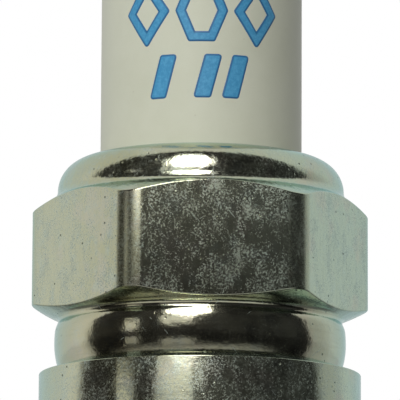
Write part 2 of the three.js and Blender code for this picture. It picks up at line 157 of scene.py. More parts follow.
def loft(name, columns, closed, smooth_angle=32.0):
    """Joins profiles that stand at angles round Z. Each column is (angle in degrees, [(r, z), ...]),
    and the last repeats the first after a full turn. An open profile starts and ends on the axis."""
    vertices = []
    faces = []
    rows = len(columns[0][1])
    for angle, points in columns:
        cosine = math.cos(math.radians(angle))
        sine = math.sin(math.radians(angle))
        vertices += [(r * cosine, r * sine, z) for r, z in points]
    for column in range(len(columns) - 1):
        for row in range(rows if closed else rows - 1):
            above = (row + 1) % rows
            here, there = column * rows, (column + 1) * rows
            faces.append((here + row, there + row, there + above, here + above))
    return new_mesh(name, vertices, faces, smooth_angle)


def revolve(name, outline, closed, segments=96, steps=4):
    points = rounded(outline, closed, steps)
    return loft(name, [(360 * i / segments, points) for i in range(segments + 1)], closed)


def finish_piece(piece, body, slot, nodes, *materials):
    """Gives a piece its materials and its body, and hides the CAD nodes that it stands for. The slot is not
    used.
    """
    for material in materials:
        piece.data.materials.append(material)
    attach(piece, body)
    if nodes:
        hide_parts(*nodes)
    return piece


# ---------------------------------------------------------------- node tools

def shader_tree(name):
    material = bpy.data.materials.new(name)
    material.use_nodes = True
    tree = material.node_tree
    tree.nodes.clear()
    return material, tree


def node(tree, kind, inputs=None, **settings):
    """Adds a node. An input's value is a number, a colour, or another node's output to link."""
    made = tree.nodes.new(kind)
    for key, value in settings.items():
        setattr(made, key, value)
    for key, value in (inputs or {}).items():
        if isinstance(value, bpy.types.NodeSocket):
            tree.links.new(value, made.inputs[key])
        else:
            made.inputs[key].default_value = value
    return made


def place_mm(tree, stretch=(1, 1, 1), turn=(0, 0, 0)):
    """The surface's own place in millimetres, turned by angles in degrees and then stretched."""
    coordinates = node(tree, "ShaderNodeTexCoord").outputs["Object"]
    rotation = [math.radians(angle) for angle in turn]
    turned = node(tree, "ShaderNodeMapping", {"Vector": coordinates, "Rotation": rotation})
    scale = [s / MM for s in stretch]
    return node(tree, "ShaderNodeMapping", {"Vector": turned.outputs[0], "Scale": scale}).outputs[0]


def noise(tree, vector, scale, detail=3.0, roughness=0.55, distortion=0.0):
    made = node(tree, "ShaderNodeTexNoise", {
        "Vector": vector, "Scale": scale, "Detail": detail, "Roughness": roughness, "Distortion": distortion})
    return made.outputs["Fac"]


def cells(tree, vector, scale):
    return node(tree, "ShaderNodeTexVoronoi", {"Vector": vector, "Scale": scale}).outputs["Distance"]


def ramp(tree, factor, low, high, from_value=0.0, to_value=1.0):
    """Maps low..high to from_value..to_value, smoothly and clamped."""
    made = node(tree, "ShaderNodeMapRange", {
        "Value": factor, "From Min": low, "From Max": high, "To Min": from_value, "To Max": to_value},
        interpolation_type="SMOOTHSTEP")
    return made.outputs["Result"]


def mix_colour(tree, factor, first, second):
    made = node(tree, "ShaderNodeMix", data_type="RGBA")
    for socket, value in ((0, factor), (6, first), (7, second)):
        if isinstance(value, bpy.types.NodeSocket):
            tree.links.new(value, made.inputs[socket])
        else:
            made.inputs[socket].default_value = value
    return made.outputs[2]


def arithmetic(tree, operation, first, second=0.0):
    return node(tree, "ShaderNodeMath", {0: first, 1: second}, operation=operation).outputs[0]


def bump(tree, height, depth_mm, previous=None):
    """Bump of a given depth in millimetres for a height from 0 to 1."""
    inputs = {"Height": height, "Distance": depth_mm * MM, "Strength": 1.0}
    if previous is not None:
        inputs["Normal"] = previous
    return node(tree, "ShaderNodeBump", inputs).outputs[0]


def surface(tree, inputs):
    shader = node(tree, "ShaderNodeBsdfPrincipled", inputs)
    node(tree, "ShaderNodeOutputMaterial", {"Surface": shader.outputs[0]})


def veins(tree, vector, scale, width, detail=4.0):
    """Thin winding lines where a noise passes its middle value."""
    winding = noise(tree, vector, scale, detail, roughness=0.7, distortion=0.8)
    from_middle = arithmetic(tree, "ABSOLUTE", arithmetic(tree, "SUBTRACT", winding, 0.5))
    return ramp(tree, from_middle, 0.0, width, 1.0, 0.0)


def scratches(tree, turn):
    """Short straight scratches along one direction, as a mask: noise stretched into thin streaks."""
    streaks = noise(tree, place_mm(tree, stretch=(0.7, 0.7, 9.0), turn=turn), 1.5, detail=1.0)
    return ramp(tree, streaks, 0.74, 0.80)


# ---------------------------------------------------------------- materials

# Film on the plating: at the plug's -X side, at its +X side, round one corner, and its two kinds of patch
FILM_LEFT, FILM_RIGHT, FILM_CORNER = (0.61, 0.61, 0.43, 1), (0.57, 0.64, 0.49, 1), (0.50, 0.48, 0.29, 1)
FILM_TAN, FILM_GREEN = (0.62, 0.58, 0.46, 1), (0.54, 0.62, 0.54, 1)
# The second colour is a painted warm reflection, tinted into the crimped band's plating.
STREAK, WARM_REFLECTION = (0.38, 0.40, 0.29, 1), (0.62, 0.50, 0.38, 1)
HAZE, PIT = (0.46, 0.56, 0.54, 1), (0.09, 0.08, 0.05, 1)
GRAZING_TINT = (0.74, 0.92, 1.0, 1)


def plated_steel(name, haze_share, wave_depth, gloss, streak_stretch, streak_share, warm_reflection=0.0):
    """Zinc plating with a clear yellow-green passivation film. A thin grey haze lies on it in patches of
    fine grains, winding veins and scratches, over soft waves, pits and fine streaks. The gloss is the
    roughness of clean plating and that of the haze."""
    material, tree = shader_tree(name)
    place = place_mm(tree)
    clusters = noise(tree, place_mm(tree, stretch=(1, 1, 0.6)), 1.1, detail=4.0, roughness=0.65)
    grain = noise(tree, place, 9.0, detail=3.0, roughness=0.75, distortion=0.4)
    cover = ramp(tree, clusters, 0.34, 0.62, 0.30, 1.0)
    haze = arithmetic(tree, "MULTIPLY", ramp(tree, grain, 0.38, 0.70, 0.0, haze_share), cover)
    level = arithmetic(tree, "MULTIPLY", arithmetic(tree, "ADD", clusters, grain), 0.5)
    haze = arithmetic(tree, "MAXIMUM", haze, ramp(tree, level, 0.42, 0.64, 0.0, 0.62 * haze_share))
    thin = veins(tree, place, 1.3, 0.04)
    thin = arithmetic(tree, "MULTIPLY", thin, ramp(tree, grain, 0.35, 0.65, 0.0, 0.6 * haze_share))
    for more in (thin, scratches(tree, (0, 38, 20)), scratches(tree, (12, -50, 80))):
        haze = arithmetic(tree, "MAXIMUM", haze, more)
    streaks = noise(tree, place_mm(tree, stretch=streak_stretch), 1.0, detail=3.0)
    pits = ramp(tree, cells(tree, place, 1.7), 0.05, 0.13, 1.0, 0.0)
    chosen = ramp(tree, noise(tree, place, 0.8, detail=1.0), 0.50, 0.56)
    pits = arithmetic(tree, "MULTIPLY", pits, chosen)

    # The film is greener towards +X and yellower at one corner, with patches of tan and grey-green.
    patches = noise(tree, place, 0.45, detail=3.0)
    film = noise(tree, place, 1.3, detail=3.0)
    side = node(tree, "ShaderNodeSeparateXYZ", {"Vector": place}).outputs["X"]
    tint = mix_colour(tree, ramp(tree, side, -2.0, 6.5), FILM_LEFT, FILM_RIGHT)
    yellow = ramp(tree, side, -8.0, -4.8, 0.0, 0.7)
    yellow = arithmetic(tree, "MULTIPLY", yellow, ramp(tree, side, -4.4, -3.4, 1.0, 0.0))
    tint = mix_colour(tree, yellow, tint, FILM_CORNER)
    tint = mix_colour(tree, ramp(tree, patches, 0.52, 0.66, 0.0, 0.6), tint, FILM_TAN)
    tint = mix_colour(tree, ramp(tree, film, 0.50, 0.70, 0.0, 0.35), tint, FILM_GREEN)
    tint = mix_colour(tree, ramp(tree, streaks, 0.50, 0.75, 0.0, streak_share), tint, STREAK)
    # Painted warm reflection: the plating is tinted warm by this share.
    tint = mix_colour(tree, warm_reflection, tint, WARM_REFLECTION)
    tint = mix_colour(tree, arithmetic(tree, "MULTIPLY", haze, 0.7), tint, HAZE)
    tint = mix_colour(tree, arithmetic(tree, "MULTIPLY", pits, 0.75), tint, PIT)

    low, high = gloss
    waves = noise(tree, place, 1.6, detail=4.0, roughness=0.6)
    normal = bump(tree, waves, wave_depth)
    normal = bump(tree, streaks, streak_share * 0.008, normal)
    normal = bump(tree, arithmetic(tree, "SUBTRACT", 1.0, pits), 0.02, normal)
    surface(tree, {
        "Base Color": tint, "Metallic": ramp(tree, haze, 0.0, 1.0, 1.0, 0.8),
        "Roughness": ramp(tree, haze, 0.0, 1.0, low, high), "Normal": normal,
        "Specular Tint": GRAZING_TINT})
    return material


def glazed_ceramic():
    material, tree = shader_tree("glazed_ceramic")
    place = place_mm(tree)
    clouds = noise(tree, place, 0.35, detail=3.0)
    grain = noise(tree, place, 14.0, detail=3.0)
    colour = mix_colour(tree, ramp(tree, clouds, 0.3, 0.7), (0.60, 0.62, 0.505, 1), (0.63, 0.65, 0.54, 1))
    colour = mix_colour(tree, ramp(tree, grain, 0.45, 0.8, 0.0, 0.2), colour, (0.52, 0.54, 0.43, 1))
    speck = ramp(tree, cells(tree, place, 0.8), 0.02, 0.05, 0.3, 0.0)
    colour = mix_colour(tree, speck, colour, (0.42, 0.40, 0.30, 1))
    height = node(tree, "ShaderNodeSeparateXYZ", {"Vector": place}).outputs["Z"]
    # A dark olive ring on the glaze at the shell's rim: partly residue caught in the gap, partly painted
    # shade where the rim meets the insulator.
    residue_and_shade = ramp(tree, height, RIM_TOP + 0.02, RIM_TOP + 0.14, 0.85, 0.0)
    residue_and_shade = arithmetic(tree, "MULTIPLY", residue_and_shade, ramp(tree, height, RIM_TOP - 1, RIM_TOP - 0.5))
    residue_and_shade = arithmetic(tree, "MULTIPLY", residue_and_shade, ramp(tree, noise(tree, place, 1.2), 0.3, 0.6, 0.5, 1.0))
    colour = mix_colour(tree, residue_and_shade, colour, (0.13, 0.15, 0.09, 1))
    normal = bump(tree, noise(tree, place, 1.2, detail=2.0), 0.006)
    normal = bump(tree, grain, 0.001, normal)
    surface(tree, {
        "Base Color": colour, "Roughness": ramp(tree, clouds, 0.3, 0.7, 0.34, 0.42), "Normal": normal,
        "Specular IOR Level": 0.32, "Coat Weight": 0.1, "Coat Roughness": 0.2})
    return material


def fired_print():
    """Blue print under the glaze. The ink is thicker and darker along its edges."""
    material, tree = shader_tree("fired_print")
    place = place_mm(tree)
    edge = node(tree, "ShaderNodeAttribute", attribute_name="edge").outputs["Fac"]
    blotches = noise(tree, place, 6.0, detail=4.0, roughness=0.7)
    colour = mix_colour(tree, ramp(tree, blotches, 0.35, 0.7), (0.055, 0.28, 0.52, 1), (0.10, 0.37, 0.62, 1))
    ragged = arithmetic(tree, "ADD", edge, arithmetic(tree, "MULTIPLY", blotches, 0.5))
    colour = mix_colour(tree, ramp(tree, ragged, 0.85, 1.25, 0.0, 0.85), colour, (0.015, 0.10, 0.27, 1))
    surface(tree, {
        "Base Color": colour, "Roughness": ramp(tree, blotches, 0.3, 0.7, 0.36, 0.5),
        "Normal": bump(tree, blotches, 0.003), "Specular IOR Level": 0.45})
    return material


def turned_metal(name, light, dark, roughness, mark_depth, rings=(0.15, 0.15, 14)):
    """Turned or drawn metal: fine tool marks along one direction, with soft patches of tarnish."""
    material, tree = shader_tree(name)
    place = place_mm(tree)
    lines = noise(tree, place_mm(tree, stretch=rings), 1.0, detail=4.0, roughness=0.6)
    patches = noise(tree, place, 1.1, detail=4.0)
    specks = noise(tree, place, 12.0, detail=3.0, roughness=0.7)
    deeper = [c * 0.6 for c in dark[:3]] + [1]
    colour = mix_colour(tree, ramp(tree, patches, 0.35, 0.7), light, dark)
    colour = mix_colour(tree, ramp(tree, specks, 0.6, 0.8, 0.0, 0.4), colour, deeper)
    low, high = roughness
    normal = bump(tree, specks, mark_depth * 0.5, bump(tree, lines, mark_depth))
    surface(tree, {
        "Base Color": colour, "Metallic": 1.0, "Roughness": ramp(tree, patches, 0.3, 0.7, low, high),
        "Normal": normal})
    return material


def pressed_powder(name, light, dark, depth):
    material, tree = shader_tree(name)
    place = place_mm(tree)
    grain = noise(tree, place, 16.0, detail=5.0, roughness=0.75)
    clouds = noise(tree, place, 1.5, detail=3.0)
    deeper = [c * 0.7 for c in dark[:3]] + [1]
    colour = mix_colour(tree, ramp(tree, clouds, 0.3, 0.7), light, dark)
    colour = mix_colour(tree, ramp(tree, grain, 0.5, 0.8, 0.0, 0.4), colour, deeper)
    surface(tree, {
        "Base Color": colour, "Roughness": ramp(tree, grain, 0.3, 0.7, 0.75, 0.95),
        "Normal": bump(tree, grain, depth)})
    return material


def seal_glass():
    """Fused glass full of copper grains."""
    material, tree = shader_tree("seal_glass")
    place = place_mm(tree)
    grains = ramp(tree, cells(tree, place, 7.0), 0.15, 0.32, 1.0, 0.0)
    clouds = noise(tree, place, 2.0, detail=3.0)
    colour = mix_colour(tree, ramp(tree, clouds, 0.3, 0.7), (0.06, 0.04, 0.03, 1), (0.12, 0.08, 0.055, 1))
    colour = mix_colour(tree, grains, colour, (0.50, 0.24, 0.13, 1))
    surface(tree, {
        "Base Color": colour, "Metallic": grains, "Roughness": ramp(tree, clouds, 0.3, 0.7, 0.25, 0.45),
        "Normal": bump(tree, grains, 0.01)})
    return material


# ---------------------------------------------------------------- threads

# Outline of one pitch of thread: (share of the pitch, share of the height)
THREAD_SECTION = (
    (0.0, 0.0), (0.06, -0.05), (0.125, -0.07), (0.19, -0.05), (0.25, 0.0), (0.35, 0.32), (0.46, 0.68),
    (0.55, 0.95), (0.58, 1.0), (0.625, 1.0), (0.67, 1.0), (0.70, 0.95), (0.79, 0.68), (0.90, 0.32))


def thread_rows(angle, low, high, pitch, root, crest):
    """Points of a right-hand thread at an angle in degrees, held to its end planes."""
    turns = math.ceil((high - low) / pitch) + 1
    points = []
    for turn in range(-1, turns):
        for share, height in THREAD_SECTION:
            z = min(max(low + pitch * (turn + share + angle / 360), low), high)
            fade = min(1.0, (z - low) / pitch, 0.8 * (high - z) / pitch)
            points.append((root + (crest - root) * height * fade, z))
    return points


# ---------------------------------------------------------------- shell

def hex_radius(angle):
    """Distance from the axis to the rounded hexagon's outline, at an angle in degrees from a corner."""
    corner_centre = (HEX_HALF_FLATS - HEX_ROUNDING) / math.cos(math.pi / 6)
    from_corner = math.radians((angle + 30) % 60 - 30)
    from_flat = math.pi / 6 - abs(from_corner)
    flat = HEX_HALF_FLATS / math.cos(from_flat)
    if flat * math.sin(from_flat) <= corner_centre / 2:
        return flat
    across = corner_centre * math.sin(from_corner)
    return corner_centre * math.cos(from_corner) + math.sqrt(HEX_ROUNDING ** 2 - across ** 2)


def shell_angles():
    """Angles of the shell's columns: close together round each corner of the hexagon."""
    corner_centre = (HEX_HALF_FLATS - HEX_ROUNDING) / math.cos(math.pi / 6)
    half_corner = 30 - math.degrees(math.atan(corner_centre / 2 / HEX_HALF_FLATS))
    support = 0.15
    flat_start = half_corner + support
    offsets = [half_corner * i / 6 for i in range(7)]
    offsets += [flat_start + (60 - 2 * flat_start) * i / 14 for i in range(15)]
    offsets += [60 - half_corner * (6 - i) / 6 for i in range(6)]
    return [60 * side + offset for side in range(6) for offset in offsets] + [360.0]


def band_points():
    """The heat-crimped band's outline from the collar up: three arcs that run smoothly on."""
    lower_angle = math.degrees(math.asin((BAND_WIDEST - BAND_LOW) / BAND_LOWER_ROUND))
    slope = math.radians(BAND_MIDDLE_ANGLE)
    upper_r = BAND_RADIUS - BAND_MIDDLE_ROUND + (BAND_MIDDLE_ROUND - BAND_UPPER_ROUND) * math.cos(slope)
    upper_z = BAND_WIDEST + (BAND_MIDDLE_ROUND - BAND_UPPER_ROUND) * math.sin(slope)
    return (
        arc(BAND_RADIUS - BAND_LOWER_ROUND, BAND_WIDEST, BAND_LOWER_ROUND, -lower_angle, 0, 8)
        + arc(BAND_RADIUS - BAND_MIDDLE_ROUND, BAND_WIDEST, BAND_MIDDLE_ROUND, 1, BAND_MIDDLE_ANGLE - 1, 3)
        + arc(upper_r, upper_z, BAND_UPPER_ROUND, BAND_MIDDLE_ANGLE, BAND_UPPER_ANGLE, 8))


def shell_profile(angle, band):
    """The shell's closed section at one angle, from the end face up the outside and down the bore."""
    flat = hex_radius(angle)
    hex_low = HEX_BOTTOM + BOTTOM_SLOPE * (flat - HEX_BOTTOM_RADIUS)
    hex_high = HEX_TOP - TOP_SLOPE * (flat - RIM_RADIUS)
    ledge_top = LEDGE_HIGH + LEDGE_SLOPE * (LOWER_BORE - LEDGE_RADIUS)
    thread_low = END_Z + 0.25
    lower = rounded([
        (POCKET_RADIUS, -12.0),
        (POCKET_RADIUS, END_Z, 0.12),
        (THREAD_ROOT - 0.05, END_Z, 0.12),
        (THREAD_ROOT, thread_low),
    ])
    collar = rounded([
        (THREAD_ROOT, THREAD_TOP),
        (NECK_RADIUS, THREAD_TOP + 0.15),
        (NECK_RADIUS, SEAT_Z, 0.2),
        (COLLAR_RADIUS - 0.25, SEAT_Z, 0.08),
        (COLLAR_RADIUS, SEAT_Z + 0.25, 0.2),
        (COLLAR_RADIUS, COLLAR_TOP, 0.05),
        (band[0][0] + 0.03, band[0][1] - 0.02, 0.05),
        band[0],
    ])
    # The chamfers reach the band and the rim in concave roundings.
    foot_angle = math.degrees(math.atan(BOTTOM_SLOPE)) - 90
    foot_round = BAND_FOOT_ROUND
    upper = math.radians(BAND_UPPER_ANGLE)
    foot = arc(band[-1][0] + foot_round * math.cos(upper), band[-1][1] + foot_round * math.sin(upper),
               foot_round, 180 + BAND_UPPER_ANGLE, 180 + foot_angle, 7)
    head_angle = 90 - math.degrees(math.atan(TOP_SLOPE))
    head_round = RIM_STRAIGHT / math.tan(math.radians(head_angle / 2))
    head = arc(RIM_RADIUS + head_round, HEX_TOP + RIM_STRAIGHT, head_round, 180 + head_angle, 184, 8)
    hexagon = rounded([
        foot[-1],
        (flat, hex_low, 0.11),
        (flat, hex_high, 0.11),
        head[0],
    ], steps=5)
    rim = arc(RIM_RADIUS - RIM_ROUND, HEX_TOP + RIM_STRAIGHT, RIM_ROUND, 0, 90, 22)
    bore = rounded([
        rim[-1],
        (LIP_RADIUS, RIM_TOP, 0.12),
        (LIP_RADIUS, UPPER_BORE_TOP, 0.1),
        (UPPER_BORE, UPPER_BORE_TOP, 0.2),
        (UPPER_BORE, UPPER_BORE_LOW, 0.3),
        (LOWER_BORE, LOWER_BORE_TOP, 0.3),
        (LOWER_BORE, ledge_top, 0.1),
        (LEDGE_RADIUS, LEDGE_HIGH, 0.08),
        (LEDGE_RADIUS, LEDGE_LOW, 0.08),
        (POCKET_RADIUS, LEDGE_LOW - POCKET_RADIUS + LEDGE_RADIUS, 0.1),
        lower[0],
    ])
    thread = thread_rows(angle, thread_low, THREAD_TOP, THREAD_PITCH, THREAD_ROOT, THREAD_CREST)
    return lower[:-1] + thread + collar[1:-1] + band + foot[1:-1] + hexagon + head[1:] + rim + bore[1:-1]


def make_shell():
    band = band_points()
    columns = [(angle, shell_profile(angle, band)) for angle in shell_angles()]
    piece = loft("steel_shell", columns, closed=True, smooth_angle=42.0)
    finish_piece(
        piece, "plug_body", "plated_steel", ["shell"],
        plated_steel("plating_smooth", 0.70, 0.022, (0.11, 0.34), (6, 6, 0.8), 0.10),
        plated_steel("plating_forged", 1.00, 0.010, (0.15, 0.40), (7, 7, 0.7), 0.30),
        plated_steel("plating_turned", 1.00, 0.010, (0.12, 0.34), (0.3, 0.3, 9), 0.12),
        # The crimped band's plating carries a painted warm reflection.
        plated_steel("plating_band_warm_reflection", 0.30, 0.014, (0.12, 0.28), (0.4, 0.4, 6), 0.25, 0.2),
        plated_steel("plating_edges", 0.70, 0.008, (0.25, 0.44), (7, 7, 0.5), 0.30))
    for face in piece.data.polygons:
        centre, normal = face.center / MM, face.normal
        turn = (math.degrees(math.atan2(normal.y, normal.x)) + 360) % 60
        if HEX_BOTTOM < centre.z < HEX_TOP and abs(normal.z) < 0.1:
            face.material_index = 1 if abs(turn - 30) < 4 else 4
        elif centre.z < COLLAR_TOP + 0.01:
            face.material_index = 2
        elif BAND_LOW - 0.1 < centre.z < HEX_BOTTOM - 0.1:
            face.material_index = 3


# ---------------------------------------------------------------- insulator, print and seals

def ledge_height(radius, offset):
    return LEDGE_HIGH + LEDGE_SLOPE * (radius - LEDGE_RADIUS) + offset


def rib_outline():
    points = []
    for i in range(RIB_COUNT):
        z = RIBS_LOW + i * RIB_PITCH
        crest = RIB_CREST - i * RIB_TAPER
        points += [
            (RIB_VALLEY, z + 0.35 * RIB_PITCH, 0.45),
            (crest, z + 0.70 * RIB_PITCH, 0.35),
            (crest, z + RIB_PITCH, 0.35)]
    return points


def make_insulator():
    tip, top = INSULATOR_LOW.z, INSULATOR_HIGH.z
    seat = WASHER_THICKNESS + 2 * FIT
    outline = [
        (ELECTRODE_BORE, tip, 0.08),
        (TIP_END_RADIUS, tip, 0.35),
        (NOSE_RADIUS, ledge_height(NOSE_RADIUS, seat), 0.15),
        (STEM_RADIUS, ledge_height(STEM_RADIUS, seat), 0.2),
        (STEM_RADIUS, 4.5, 0.8),
        (SHOULDER_RADIUS, 7.55, 0.6),
        (SHOULDER_RADIUS, 13.8, 0.5),
        (GLAZED_RADIUS, 14.6, 0.5),
        (GLAZED_RADIUS, RIBS_LOW, 0.35),
        *rib_outline(),
        (RIB_VALLEY, RIBS_LOW + (RIB_COUNT + 0.35) * RIB_PITCH, 0.3),
        (RIB_VALLEY, top - 0.8, 0.5),
        (RIB_VALLEY - 0.8, top, 0.3),
        (INSULATOR_BORE, top, 0.12),
        (INSULATOR_BORE, ELECTRODE_SEAT + HEAD_STEP, 0.1),
        (ELECTRODE_BORE, ELECTRODE_SEAT, 0.1),
    ]
    piece = revolve("ceramic_insulator", outline, closed=True, segments=128, steps=6)
    finish_piece(piece, "plug_body", "glazed_ceramic", ["insulator"], glazed_ceramic())


def inset(corners, distance):
    """A convex polygon's corners, moved in so that each side shifts by a distance."""
    moved = []
    for i, corner in enumerate(corners):
        here = Vector(corner)
        before = (here - Vector(corners[i - 1])).normalized()
        after = (Vector(corners[(i + 1) % len(corners)]) - here).normalized()
        inward = Vector((-before.y, before.x)) + Vector((-after.y, after.x))
        moved.append(here + inward * (distance / (inward.length_squared / 2)))
    return moved


def mark_loop(corners, distance):
    """One loop of a mark: the polygon moved in, with rounded corners and sides cut into short steps."""
    turning = max(0.16 - distance, 0.03)
    rounded_corners = [(c.x, c.y, turning) for c in inset(corners, distance)]
    points = rounded(rounded_corners, closed=True, steps=3)
    loop = []
    for i, point in enumerate(points):
        here, there = Vector(point), Vector(points[(i + 1) % len(points)])
        steps = 8 if i % 4 == 3 else 1
        loop += [here.lerp(there, j / steps) for j in range(steps)]
    return loop


def add_mark(corners, steps, open_middle, vertices, faces, values):
    """Adds one printed mark. The corners run anticlockwise in (arc length, z), and the steps are
    (distance from the edge, thickness, how much of an edge it is)."""
    turn = math.radians(VIEW_AZIMUTH - 90)
    foot = 0.02
    rings = [(steps[0][0], -foot, 1.0)] + list(steps)
    if open_middle:
        rings.append((steps[-1][0], -foot, 1.0))
    start = len(vertices)
    for distance, thickness, value in rings:
        loop = mark_loop(corners, distance)
        for s, z in loop:
            angle = turn + s / GLAZED_RADIUS
            radius = GLAZED_RADIUS + thickness
            vertices.append((radius * math.cos(angle), radius * math.sin(angle), z))
            values.append(value)
    count = len(loop)
    levels = len(rings)
    pairs = [(i, i + 1) for i in range(levels - 1)]
    if open_middle:
        pairs.append((levels - 1, 0))
    for lower, upper in pairs:
        for j in range(count):
            k = (j + 1) % count
            a, b = start + lower * count, start + upper * count
            faces.append((a + j, a + k, b + k, b + j))
    if not open_middle:
        faces.append(tuple(start + (levels - 1) * count + j for j in range(count)))
        faces.append(tuple(start + j for j in reversed(range(count))))


def make_print():
    """Generic marks in the place of the maker's print: three open outlines over three slanted bars."""
    stroke, thickness = 0.55, 0.02
    outline_steps = [
        (0.0, 0.0, 1.0),
        (0.05, thickness, 1.0),
        (0.10, thickness, 0.8),
        (0.20, thickness, 0.1),
        (stroke - 0.20, thickness, 0.1),
        (stroke - 0.10, thickness, 0.8),
        (stroke - 0.05, thickness, 1.0),
        (stroke, 0.0, 1.0)]
    solid_steps = outline_steps[:4] + [(0.35, thickness, 0.0)]
    vertices, faces, values = [], [], []
    middle, half_width, half_height, spacing = 27.15, 1.35, 1.95, 3.05
    for s in (-spacing, spacing):
        diamond = [(s - half_width, middle), (s, middle - half_height), (s + half_width, middle),
                   (s, middle + half_height)]
        add_mark(diamond, outline_steps, True, vertices, faces, values)
    hexagon_width = 1.42
    hexagon = [(hexagon_width * math.cos(a), middle + half_height * math.sin(a))
               for a in (math.radians(60 * i) for i in range(6))]
    add_mark(hexagon, outline_steps, True, vertices, faces, values)
    low, high, slant, width = 22.45, 24.8, 0.62, 0.95
    for left in (-2.85, -0.45, 1.05):
        bar = [(left, low), (left + width, low), (left + width + slant, high), (left + slant, high)]
        add_mark(bar, solid_steps, False, vertices, faces, values)
    piece = new_mesh("fired_marks", vertices, faces, 50.0, values)
    finish_piece(piece, "plug_body", "printed_mark", [], fired_print())


def make_seals():
    steel = turned_metal("washer_steel", (0.62, 0.62, 0.59, 1), (0.50, 0.50, 0.47, 1), (0.25, 0.42), 0.006)
    inner, outer, thick = 3.36, 3.78, WASHER_THICKNESS
    washer = revolve("seat_washer", [
        (inner, ledge_height(inner, FIT), 0.05),
        (outer, ledge_height(outer, FIT), 0.05),
        (outer, ledge_height(outer, FIT + thick), 0.05),
        (inner, ledge_height(inner, FIT + thick), 0.05)], closed=True)
    finish_piece(washer, "plug_body", "washer_steel", ["insulator_seat_washer"], steel)
    inner, outer = GLAZED_RADIUS + FIT, UPPER_BORE - FIT
    wire_round = 0.22
    for name in ("lower_packing_ring", "upper_packing_ring"):
        low, high = box_mm(name)
        ring = revolve(f"{name}_wire", [
            (inner, low.z, wire_round),
            (outer, low.z, wire_round),
            (outer, high.z, wire_round),
            (inner, high.z, wire_round)], closed=True, steps=6)
        finish_piece(ring, "plug_body", "washer_steel", [name], steel)
    low, high = box_mm("talc_powder_seal")
    talc = revolve("talc_filling", [
        (inner, low.z, 0.02),
        (outer, low.z, 0.02),
        (outer, high.z, 0.02),
        (inner, high.z, 0.02)], closed=True)
    powder = pressed_powder("talc", (0.80, 0.78, 0.73, 1), (0.72, 0.70, 0.64, 1), 0.02)
    finish_piece(talc, "plug_body", "talc", ["talc_powder_seal"], powder)


def thick_strip(line, thickness):
    """Closed outline of a bent strip from its middle line."""
    left = []
    right = []
    for i, point in enumerate(line):
        before, after = Vector(line[max(i - 1, 0)]), Vector(line[min(i + 1, len(line) - 1)])
        along = (after - before).normalized()
        side = Vector((-along.y, along.x)) * thickness / 2
        left.append(tuple(Vector(point) + side))
        right.append(tuple(Vector(point) - side))
    return left + right[::-1]


def make_gasket():
    """Crush washer of folded sheet, in three layers with an outer and an inner bend between them."""
    sheet = 0.4
    low, high = GASKET_LOW.z + sheet / 2, GASKET_HIGH.z - sheet / 2
    middle = (low + high) / 2
    bend = (middle - low) / 2
    outer = GASKET_HIGH.x - sheet / 2 - bend
    inner = 5.85 + sheet / 2 + bend
    line = [(5.95, low), (6.5, low), (7.2, low)]
    line += arc(outer, low + bend, bend, -90, 90, 12)
    line += [(7.2, middle)]
    line += arc(inner, middle + bend, bend, 270, 90, 12)
    line += [(7.2, high), (8.0, high), (8.3, high - 0.03)]
    section = thick_strip(line, sheet)
    segments = 96
    columns = [(360 * i / segments, section) for i in range(segments + 1)]
    piece = loft("folded_gasket", columns, closed=True)
    metal = plated_steel("gasket_plating", 0.5, 0.012, (0.16, 0.36), (0.3, 0.3, 8), 0.3)
    finish_piece(piece, "crush_gasket", "washer_steel", ["gasket"], metal)


# ---------------------------------------------------------------- terminal and inner conductors

def make_terminal():
    steel = turned_metal(
        "terminal_steel", (0.66, 0.65, 0.60, 1), (0.54, 0.53, 0.49, 1), (0.22, 0.38), 0.008)
    nickel = turned_metal(
        "terminal_nickel", (0.70, 0.68, 0.63, 1), (0.62, 0.60, 0.55, 1), (0.12, 0.24), 0.003)
    pitch, root, crest = 0.7, 1.56, 1.95
    shank, knurl_high = 1.7, 16.0
    flange_low, flange_high, thread_low, thread_high = 42.04, 42.8, 42.95, 48.1
    flange_radius, knurl_radius, knurl_depth, knurl_count = 3.0, 1.82, 0.08, 24
    segments = 96
    columns = []
    for i in range(segments + 1):
        angle = 360 * i / segments
        ridge = knurl_radius + knurl_depth * math.cos(math.radians(angle * knurl_count))
        profile = rounded([
            (0, STUD_LOW.z),
            (shank, STUD_LOW.z, 0.08),
            (ridge, STUD_LOW.z + 0.25, 0.05),
            (ridge, knurl_high - 0.1, 0.05),
            (shank, knurl_high + 0.2, 0.1),
            (shank, flange_low, 0.1),
            (flange_radius, flange_low, 0.12),
            (flange_radius, flange_high, 0.15),
            (root, flange_high, 0.05),
            (root, thread_low),
        ])
        profile += thread_rows(angle, thread_low, thread_high, pitch, root, crest)
        profile += rounded([(root, thread_high), (root, STUD_HIGH.z, 0.12), (0, STUD_HIGH.z)])
        columns.append((angle, profile))
    stud = loft("threaded_stud", columns, closed=False)
    finish_piece(stud, "plug_body", "terminal_steel", ["terminal_stud"], steel)

    bore_top, bore = 49.0, 2.08
    radius, waist = NUT_HIGH.x, 2.75
    nut = revolve("terminal_cap", [
        (0, bore_top),
        (bore, bore_top - 0.6, 0.1),
        (bore, NUT_LOW.z, 0.12),
        (radius, NUT_LOW.z, 0.25),
        (radius, 44.1, 0.35),
        (waist, 44.5, 0.30),
        (waist, 46.3, 0.30),
        (radius, 46.7, 0.35),
        (radius, 49.45, 0.6),
        (2.45, NUT_HIGH.z, 0.5),
        (0, NUT_HIGH.z)], closed=False, steps=8)
    finish_piece(nut, "screw_terminal", "terminal_nickel", ["terminal_nut"], nickel)


def make_core(name, replaced, slot, material, dish):
    """A cylinder of compound in the insulator's bore, with end faces dished by pressing."""
    low, high = box_mm(replaced)
    radius = high.y
    outline = [(0, low.z + dish), (radius * 0.6, low.z + dish * 0.4, 1.0), (radius, low.z, 0.06),
               (radius, high.z, 0.06), (radius * 0.6, high.z - dish * 0.4, 1.0), (0, high.z - dish)]
    finish_piece(revolve(name, outline, closed=False, segments=64), "plug_body", slot, [replaced], material)


